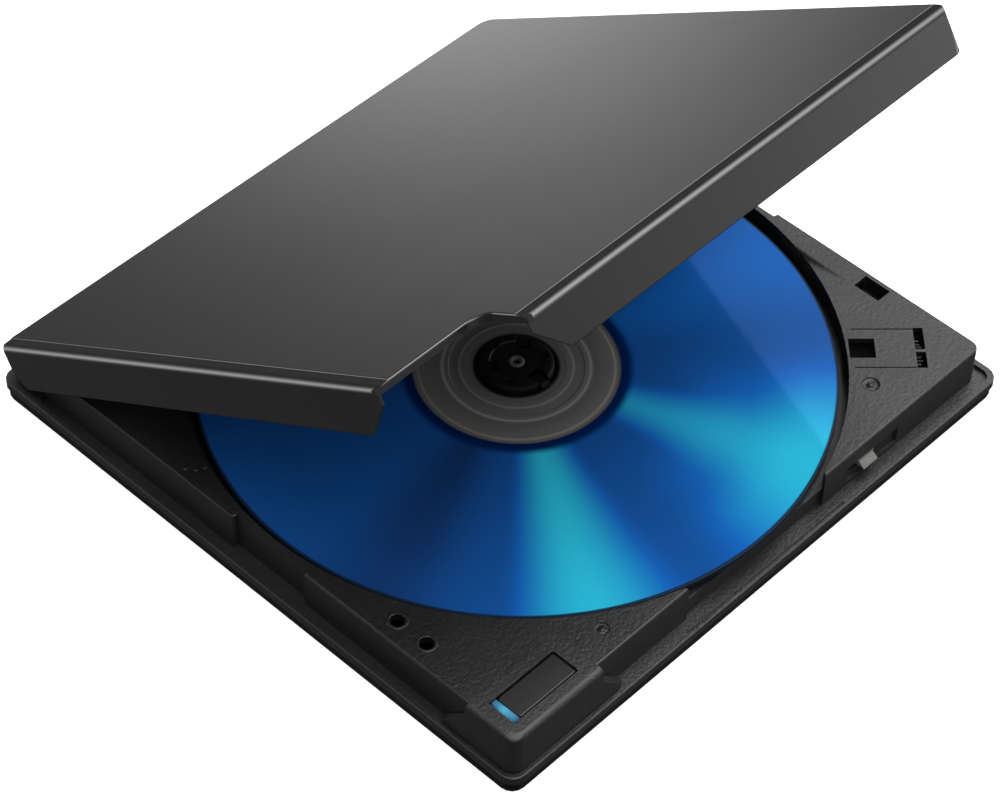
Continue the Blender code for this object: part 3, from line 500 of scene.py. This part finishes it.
def world():
    """A dim dome with soft lobes of light."""
    made = bpy.data.worlds.new("studio")
    bpy.context.scene.world = made
    made.use_nodes = True
    nodes, links = made.node_tree.nodes, made.node_tree.links
    nodes.clear()
    place = nodes.new("ShaderNodeTexCoord")

    def math_node(operation, first, second, third=0.0):
        step = nodes.new("ShaderNodeMath")
        step.operation = operation
        for socket, value in zip(step.inputs, (first, second, third)):
            if isinstance(value, float):
                socket.default_value = value
            else:
                links.new(value, socket)
        return step.outputs["Value"]

    total = DOME
    for azimuth, elevation, width, strength in LOBES:
        toward = nodes.new("ShaderNodeVectorMath")
        toward.operation = "DOT_PRODUCT"
        links.new(place.outputs["Generated"], toward.inputs[0])
        toward.inputs[1].default_value = direction(azimuth, elevation)
        sharpness = 1.0 / math.radians(width) ** 2
        power = math_node("MULTIPLY_ADD", toward.outputs["Value"], sharpness, -sharpness)
        fall = math_node("EXPONENT", power, 0.0)
        total = math_node("MULTIPLY_ADD", fall, strength, total)
    sky = nodes.new("ShaderNodeBackground")
    links.new(total, sky.inputs["Strength"])
    out = nodes.new("ShaderNodeOutputWorld")
    links.new(sky.outputs["Background"], out.inputs["Surface"])
    sky.inputs["Color"].default_value = (1.0, 1.0, 1.0, 1.0)


def studio():
    """Floor, light and how tones are shown."""
    bpy.context.scene.view_settings.view_transform = "Standard"
    floor()
    world()


# ---------------------------------------------------------------- lid


def open_turn():
    """From the closed lid's place to where it stands at rest."""
    hinge = next(joint for joint in frame["joints"] if joint["name"] == "lid_hinge")
    at = Vector(hinge["pos_m"])
    turn = Matrix.Rotation(-math.radians(hinge["range_deg"][1]), 4, "X")
    return Matrix.Translation(at) @ turn @ Matrix.Translation(-at)


def lid_loop(inset, level):
    """The lid's plan at a level, with its sides moved in."""
    right, front, back = LID_HALF - inset, LID_FRONT + inset, LID_BACK - inset
    radius = max(LID_CORNER - inset, 0.4)
    corners = ((right, front, radius), (right, back, radius), (-right, back, radius), (-right, front, radius))
    return [(x, y, level) for x, y in rounded(corners, 10)]


def edge_profile():
    """What the cutters take off along the lid's front and left edge."""
    points = list(EDGE_STEP)
    inset, drop = ARC_START
    turn = 5
    for tilt in range(ARC_TILTS[0], ARC_TILTS[1], turn):
        points.append((inset, drop))
        run = ARC_RADII[0 if tilt < 45 else 1] * math.radians(turn)
        inset -= run * math.cos(math.radians(tilt + turn / 2))
        drop += run * math.sin(math.radians(tilt + turn / 2))
    return points + [(inset, drop), (0.0, 9.0), (-0.02, 9.2), (-2.0, 9.2), (-2.0, -2.0), (3.9, -2.0)]


def lid_shell(paint, inside):
    """The painted cover: a turned-in skirt, a stepped and rounded front and left edge, and the notch."""
    loops = [lid_loop(LID_WALL, LID_UNDER), lid_loop(LID_WALL, LID_LIP + 0.25),
             lid_loop(LID_WALL - 0.25, LID_LIP), lid_loop(0.3, LID_LIP), lid_loop(0.09, LID_LIP + 0.09),
             lid_loop(0.0, LID_LIP + 0.3)]
    for step in range(7):
        angle = math.pi / 2 * step / 6
        inset, drop = EDGE_ROUND * (1 - math.cos(angle)), EDGE_ROUND * (1 - math.sin(angle))
        loops.append(lid_loop(inset, LID_TOP - drop))
    shell = new_object("lid_shell", mesh_from("lid_shell", loft(loops)))
    front = [(LID_FRONT + inset, LID_TOP - drop) for inset, drop in edge_profile()]
    side = [(-LID_HALF + inset, LID_TOP - drop) for inset, drop in edge_profile()]
    boolean(shell, extruded("front_edge", front, -80.0, 80.0, "X"), "DIFFERENCE")
    boolean(shell, extruded("side_edge", side, -80.0, 80.0, "Y"), "DIFFERENCE")
    back_slant = ((65.0, 15.85), (65.65, 14.86), (66.26, 13.92), (66.9, 12.93), (70.0, 12.93), (70.0, 15.85))
    boolean(shell, extruded("back_edge", back_slant, -80.0, 80.0, "X"), "DIFFERENCE")
    boolean(shell, notch_rim(), "UNION")
    boolean(shell, notch_cutter(), "DIFFERENCE")
    foot = SLANT_TOP - LID_LIP + 1.0
    for name, at, along in (("slant_front", NOTCH_X, "Y"), ("slant_side", NOTCH_Y, "X")):
        outline = ((at - 5, SLANT_TOP), (at, SLANT_TOP), (at + foot, LID_LIP - 1.0), (at - 5, LID_LIP - 1.0))
        boolean(shell, extruded(name, outline, -75.0, -62.0, along), "DIFFERENCE")
    relief = ((61.6, 3.0), (61.6, LID_LIP), (64.9, 9.0), (70.0, 9.0), (70.0, 3.0))
    boolean(shell, extruded("back_relief", relief, -80.0, 80.0, "X"), "DIFFERENCE")
    smooth(shell)
    finished(shell, paint, "lid", "lid_paint", "lid_cover")
    shell.data.materials.append(inside)
    for face in shell.data.polygons:
        face.material_index = int(face.normal.z < -0.25)
    shell.data.transform(open_turn())


def notch_edge(offset, reach=0.0):
    """The line along the notch, moved out by an offset, and past the front and left walls by a reach."""
    x, y = NOTCH_X + offset, NOTCH_Y + offset
    return rounded(((x, LID_FRONT + 0.6 - reach, 0.0), (x, y, NOTCH_RADIUS + offset),
                    (-LID_HALF + 0.6 - reach, y, 0.0)), 12)


def notch_cutter(rounding=0.45):
    """All of the notch, with its upper edge rounded."""
    levels = [(0.0, 0.0)]
    for step in range(6):
        angle = math.radians(16 * step)
        levels.append((rounding * (1 - math.cos(angle)), LID_TOP - rounding * (1 - math.sin(angle))))
    levels.append((levels[-1][0], 30.0))
    loops = []
    for offset, level in levels:
        corner = [(-90.0, NOTCH_Y + offset), (-90.0, -90.0), (NOTCH_X + offset, -90.0)]
        loops.append([(x, y, level) for x, y in notch_edge(offset, 14.0) + corner])
    return new_object("notch", mesh_from("notch", loft(loops)))


def notch_rim():
    """The strip that turns down along the notch."""
    outline = notch_edge(LID_WALL) + list(reversed(notch_edge(-1.0)))
    work = loft([[(x, y, z) for x, y in outline] for z in (NOTCH_RIM, LID_TOP - 0.4)])
    bmesh.ops.remove_doubles(work, verts=work.verts, dist=1e-5)
    return new_object("notch_rim", mesh_from("notch_rim", work))


# ---------------------------------------------------------------- disc and hub


def disc_surface():
    """Blue recording layer round a clear hub ring, with painted highlights and painted shade that fan out
    across it as streaks.
    """
    made, shader = shader_of("disc_finish", (0.02, 0.2, 0.6), 0.08, metallic=0.09, specular=0.05, coat=0.03,
                             coat_roughness=0.02)
    place = node(made, "ShaderNodeTexCoord")
    shift = node(made, "ShaderNodeVectorMath", operation="SUBTRACT")
    shift.inputs[1].default_value = DISC_CENTRE * MM
    link(made, place.outputs["Object"], shift.inputs[0])
    split = node(made, "ShaderNodeSeparateXYZ")
    link(made, shift.outputs["Vector"], split.inputs["Vector"])
    turn = node(made, "ShaderNodeMath", operation="ARCTAN2")
    link(made, split.outputs["Y"], turn.inputs[0])
    link(made, split.outputs["X"], turn.inputs[1])
    angle = remap(made, turn.outputs["Value"], 0.0, 1.0, -math.pi, math.pi)
    flat = node(made, "ShaderNodeCombineXYZ")
    link(made, split.outputs["X"], flat.inputs["X"])
    link(made, split.outputs["Y"], flat.inputs["Y"])
    radius = node(made, "ShaderNodeVectorMath", operation="LENGTH")
    link(made, flat.outputs["Vector"], radius.inputs[0])
    share = remap(made, radius.outputs["Value"], 0.0, 1.0, 0.0, DISC_RADIUS * MM)
    # Painted shade: the streaks are darker towards the hub, where the lid shades the disc, and lighter
    # towards the rim
    outward = ramp(made, share, ((0.45, (0, 0, 0)), (0.7, (0.35, 0.35, 0.35)), (0.93, (1, 1, 1))))
    lightness = blend(made, outward, ramp(made, angle, streaks(0)), ramp(made, angle, streaks(1)))
    fan = ramp(made, lightness, DISC_TONES, "LINEAR")
    layer = ramp(made, share, DISC_LAYER)
    link(made, blend(made, layer, ramp(made, share, DISC_RINGS), fan), shader.inputs["Base Color"])
    return made


def streaks(end):
    """Painted lightness, highlights and shade, round the disc at the hub (0) or at the rim (1), as stops from
    -180 to 180 degrees.
    """
    places = [(-180.0, DISC_BETWEEN)]
    for angle, *widths, light_hub, light_rim in DISC_PAINTED_LIGHT_STREAKS:
        places += [(angle - widths[end], DISC_BETWEEN), (angle, (light_hub, light_rim)[end]),
                   (angle + widths[end], DISC_BETWEEN)]
    places.append((180.0, DISC_BETWEEN))
    return [((angle + 180.0) / 360.0, (light, light, light)) for angle, light in places]


def blend(material, value, first, second):
    """Mix two colour outputs by a value."""
    made = node(material, "ShaderNodeMix", data_type="RGBA")
    colors = [socket for socket in made.inputs if socket.type == "RGBA"]
    link(material, value, made.inputs["Factor"])
    link(material, first, colors[0])
    link(material, second, colors[1])
    return next(socket for socket in made.outputs if socket.type == "RGBA")


def ramp(material, value, stops, interpolation="EASE"):
    """A colour band through (position, colour) stops."""
    made = node(material, "ShaderNodeValToRGB")
    made.color_ramp.interpolation = interpolation
    elements = made.color_ramp.elements
    while len(elements) > 1:
        elements.remove(elements[-1])
    elements[0].position = stops[0][0]
    elements[0].color = (*stops[0][1], 1.0)
    for position, color in stops[1:]:
        elements.new(position).color = (*color, 1.0)
    link(material, value, made.inputs["Fac"])
    return made.outputs["Color"]


def disc(material):
    """The disc: a rounded clear rim, a shallow ring round the hole and a raised ring under it."""
    low, high, rim = DISC_LOW, DISC_HIGH, DISC_RADIUS
    profile = ((7.5, low + 0.1), (7.6, low), (16.6, low), (16.8, low - 0.15), (17.6, low - 0.15), (17.8, low),
               (rim - 0.3, low), (rim - 0.07, low + 0.09), (rim, low + 0.3), (rim, high - 0.3),
               (rim - 0.07, high - 0.09), (rim - 0.3, high), (19.5, high), (19.35, high - 0.05),
               (18.5, high - 0.05), (18.35, high), (15.6, high), (15.5, high - 0.04), (13.4, high - 0.04),
               (13.2, high), (12.8, high), (12.6, high - 0.12), (11.4, high - 0.12), (11.2, high - 0.04),
               (10.4, high - 0.04), (10.2, high), (9.2, high), (9.1, high - 0.05), (7.65, high - 0.05),
               (7.5, high - 0.2))
    piece = revolve("disc_platter", profile, 256, closed=True)
    smooth(piece, 25)
    return finished(piece, material, "spindle", "disc_blue", "disc")


def hub(material, steel):
    """The motor's bell and the hub on it, with slots round the claws and a bright shaft end."""
    profile = ((0.0, 11.1), (0.85, 11.1), (0.95, 11.7), (1.9, 11.72), (2.3, 11.75), (4.9, 11.75), (5.2, 12.0),
               (6.3, 12.0), (6.75, 11.85), (7.05, 11.4), (7.15, 10.9), (7.15, 8.6), (7.25, 8.5), (10.4, 8.5),
               (10.5, 8.45), (13.6, 8.45), (13.8, 8.5), (13.95, 8.35), (14.0, 8.15), (14.0, 4.0), (13.9, 3.9),
               (12.9, 3.9), (12.8, 4.0), (12.8, 7.4), (0.85, 7.4), (0.85, 3.1), (0.75, 3.0), (0.0, 3.0))
    piece = revolve("hub", profile, 96)
    cuts = (("slot", 3.6, 9.0, 1.35, 9.9, 30), ("pocket", 5.0, 6.1, 0.8, 11.5, 90))
    for number in range(3):
        for name, start, end, side, low, turn in cuts:
            cutter = block(f"hub_{name}_{number}", (start, -side, low), (end, side, 13.0))
            turned = Matrix.Rotation(math.radians(120 * number + turn), 4, "Z")
            cutter.data.transform(Matrix.Translation(DISC_CENTRE * MM) @ turned)
            boolean(piece, cutter, "DIFFERENCE")
    bevelled(piece, 0.08, 2, 50)
    smooth(piece)
    finished(piece, material, "spindle", "black_moulding", "turntable")
    tube = ((0.75, 11.2), (1.5, 11.2), (1.5, 11.8), (1.3, 11.95), (0.9, 11.95), (0.75, 11.85))
    ring = revolve("shaft_end", tube, 48, closed=True)
    smooth(ring)
    finished(ring, steel, "spindle", "steel")


# ---------------------------------------------------------------- button block


def bezel(material):
    """The raised block round the button, softly rounded outside, with slanted ends."""
    loops = [bezel_loop(0.0, BLOCK_BOTTOM)]
    across, down = BLOCK_ROUNDING
    for step in range(9):
        angle = math.pi / 2 * step / 8
        loops.append(bezel_loop(across * (1 - math.cos(angle)), BLOCK_TOP - down * (1 - math.sin(angle))))
    piece = new_object("bezel", mesh_from("bezel", loft(loops)))
    for name, at, along in (("front", -43.3, "Y"), ("side", -53.9, "X")):
        outline = ((at, 30.0), (at, 11.2), (at + 8.0, 3.2), (at + 40.0, 3.2), (at + 40.0, 30.0))
        boolean(piece, extruded(f"end_{name}", outline, -75.0, -30.0, along), "DIFFERENCE")
    bevelled(piece, 0.3, 3, 50)
    boolean(piece, block("inside", (-63.85, -63.25, 0.0), (-20.0, -20.0, 12.8), 2.0), "DIFFERENCE")
    boolean(piece, block("button_hole", (-60.7, -62.4, 10.0), (-46.4, -56.4, 20.0), 0.5), "DIFFERENCE")
    boolean(piece, block("light_slot", (-62.2, -62.4, 10.0), (-60.2, -56.4, 20.0)), "DIFFERENCE")
    smooth(piece)
    return finished(piece, material, "base", "dark_moulding", "button_bezel")


def bezel_loop(inset, level):
    """The block's plan at a level, with its sides moved in."""
    (x0, y0), (x1, y1), corner = BLOCK_LOW, BLOCK_HIGH, BLOCK_CORNER
    x0, y0, x1, y1 = x0 + inset, y0 + inset, x1 - inset, y1 - inset
    corners = ((x1, y0, corner), (x1, y1, corner), (x0, y1, corner), (x0, y0, corner))
    return [(x, y, level) for x, y in rounded(corners, 8)]


# ---------------------------------------------------------------- deck


def deck_outline(x, y, z):
    """Whether a point is on the deck's outer upper edge."""
    return z > DECK_TOP - 0.5 and (abs(x) > 62.8 or y < -62.2 or y > 59.0)


def deck(material):
    """The deck with its sharp edges rounded, small teeth in the comb slots and marks from the mould."""
    piece = softened("deck_frame", "deck", 0.4, 4, room=1.6, chosen=deck_outline)
    for number, (place, length, width) in enumerate(COMB_TEETH):
        low, high = (COMB_AT - 0.3, place - width / 2, 11.6), (COMB_AT + length, place + width / 2, 12.35)
        tooth = block(f"tooth_{number}", low, high)
        tooth.data.transform(CORNER_TURN)
        boolean(piece, tooth, "UNION")
    for number, at in enumerate(MOULD_MARKS):
        boolean(piece, dot(f"mark_{number}", at, 0.45, 12.2, 12.62), "UNION")
    for number, (x, y, radius, depth) in enumerate(DISHES):
        bottom = DECK_TOP - depth
        dish = ((0.0, bottom), (radius * 0.75, bottom), (radius, 12.45), (radius, 13.0), (0.0, 13.0))
        boolean(piece, revolve(f"dish_{number}", dish, 32, Vector((x, y, 0.0))), "DIFFERENCE")
        boolean(piece, dot(f"dish_dot_{number}", (x, y), 0.5, 12.0, 12.45), "UNION")
    collar = ((1.42, 12.3), (1.42, 12.7), (1.55, 12.8), (1.8, 12.8), (2.0, 12.65), (2.05, 12.3))
    for number, y in enumerate(COLLAR_Y):
        ring = revolve(f"collar_{number}", collar, 40, Vector((COLLAR_X, y, 0.0)), closed=True)
        boolean(piece, ring, "UNION")
    smooth(piece, flat=FLAT_AREA)
    return finished(piece, material, "base", "dark_moulding", "deck_frame")


def pocket(material):
    """Painted shade: a near-black plate under the deck's corner window and comb slots, put there so that they
    look dark inside.
    """
    shade_plate = block("pocket", (63.6, -5.6, 10.1), (79.6, 5.6, 10.4), 1.0)
    shade_plate.data.transform(CORNER_TURN)
    smooth(shade_plate)
    return finished(shade_plate, material, "base", "black_moulding")


def latch(material):
    """The latch, with a slanted face on its tip."""
    piece = softened("latch_slider", "latch", 0.15, 2)
    wedge = ((-62.6, 9.5), (-62.6, 8.2), (-64.15, 7.0), (-64.3, 6.0), (-66.0, 6.0), (-66.0, 9.5))
    boolean(piece, extruded("latch_slant", wedge, 20.0, 40.0, "X"), "DIFFERENCE")
    boolean(piece, block("latch_end", (32.5, -66.0, 5.0), (36.0, -62.5, 10.0)), "DIFFERENCE")
    smooth(piece)
    return finished(piece, material, "latch", "grey_moulding", "latch_slider")


def dot(name, at, radius, low, high):
    """A small round boss with a rounded top."""
    profile = ((0.0, high), (radius * 0.6, high), (radius, high - 0.1), (radius, low), (0.0, low))
    return revolve(name, profile, 24, Vector((*at, 0.0)))


# ---------------------------------------------------------------- assembly


def finishes():
    """A material for each of the record's slots."""
    return {
        "lid_paint": lid_paint(),
        "black_moulding": moulded("black_moulding_finish", (0.004, 0.004, 0.004), 0.5, 1500.0, 0.03,
                                  specular=0.22),
        "dark_moulding": moulded("dark_moulding_finish", (0.006, 0.006, 0.0059), 0.45, 1400.0, 0.1, 0.5,
                                 specular=0.82),
        "button_gloss": moulded("button_finish", (0.02, 0.02, 0.02), 0.3, 3000.0, 0.003, 0.15,
                                specular=0.65),
        "grey_moulding": moulded("grey_moulding_finish", (0.17, 0.17, 0.165), 0.4, 1500.0, 0.01, 0.1),
        "steel": metal("steel_finish", (0.6, 0.6, 0.61), 0.25, (1, 1, 12)),
        "sheet_steel": metal("sheet_steel_finish", (0.5, 0.5, 0.51), 0.4, (1, 8, 1)),
        "die_cast": metal("die_cast_finish", (0.4, 0.4, 0.41), 0.5),
        "rubber": moulded("rubber_finish", (0.015, 0.015, 0.015), 0.85, 2500.0, 0.03, specular=0.2),
        "board_green": moulded("board_finish", (0.01, 0.06, 0.025), 0.4, 900.0, 0.01, 0.25),
        "chip_black": moulded("chip_finish", (0.02, 0.02, 0.02), 0.45, 2600.0, 0.01, 0.2),
        "optical_glass": glass(),
        "amber_film": moulded("film_finish", (0.12, 0.06, 0.015), 0.3, 600.0, 0.004, 0.2),
        "brass": metal("winding_finish", (0.55, 0.28, 0.1), 0.35, (1, 1, 20), 400.0, 0.03),
        "blue_light": lit_strip(),
        "disc_blue": disc_surface(),
    }


def glass():
    """Coated lens glass."""
    made, shader = shader_of("lens_finish", (0.55, 0.65, 0.8), 0.04, specular=0.6)
    shader.inputs["Transmission Weight"].default_value = 0.9
    shader.inputs["IOR"].default_value = 1.55
    tone = noise(made, 900.0)
    link(made, tint(made, remap(made, tone, 0.0, 1.0), (0.5, 0.62, 0.8), (0.62, 0.66, 0.8)),
         shader.inputs["Base Color"])
    return made


def lit_strip():
    """Clear blue plastic, lit from inside, brightest in the middle of its length."""
    made, shader = shader_of("light_finish", (0.02, 0.08, 0.15), 0.25, specular=0.5)
    shader.inputs["Emission Strength"].default_value = 1.0
    place = node(made, "ShaderNodeTexCoord")
    split = node(made, "ShaderNodeSeparateXYZ")
    link(made, place.outputs["Generated"], split.inputs["Vector"])
    glow = ramp(made, split.outputs["Y"], ((0.0, (0.02, 0.05, 0.1)), (0.2, (0.04, 0.19, 0.3)),
                                           (0.55, (0.07, 0.33, 0.45)), (0.85, (0.03, 0.13, 0.25)),
                                           (1.0, (0.02, 0.04, 0.09))))
    link(made, glow, shader.inputs["Emission Color"])
    return made


def build():
    """Make every visible piece, and give the CAD nodes that stay their materials."""
    looks = finishes()
    lid_shell(looks["lid_paint"], looks["black_moulding"])
    for source, name, width, segments, body in (("lid_liner", "lid_inner", 0.15, 2, "lid"),
                                                ("bottom_case", "tray", 0.2, 2, "base")):
        slot = next(part["material_slot"] for part in frame["record"]["subparts"] if part["node"] == source)
        finished(softened(source, name, width, segments), looks[slot], body, slot, source)
    deck(looks["dark_moulding"])
    # A near-black, dull finish for the plate that stands in for the shade under the slots
    pocket(moulded("shade_plate_finish", (0.003, 0.003, 0.003), 0.8, 1500.0, 0.01, specular=0.05))
    latch(looks["grey_moulding"])
    bezel(looks["dark_moulding"])
    hub(looks["black_moulding"], moulded("shaft_finish", (0.09, 0.09, 0.09), 0.45, 900.0, 0.01, 0.15))
    disc(looks["disc_blue"])
    for part in frame["record"]["subparts"]:
        cad = NODES[part["node"]]
        cad.data.materials.clear()
        cad.data.materials.append(looks[part["material_slot"]])


camera()
studio()
build()
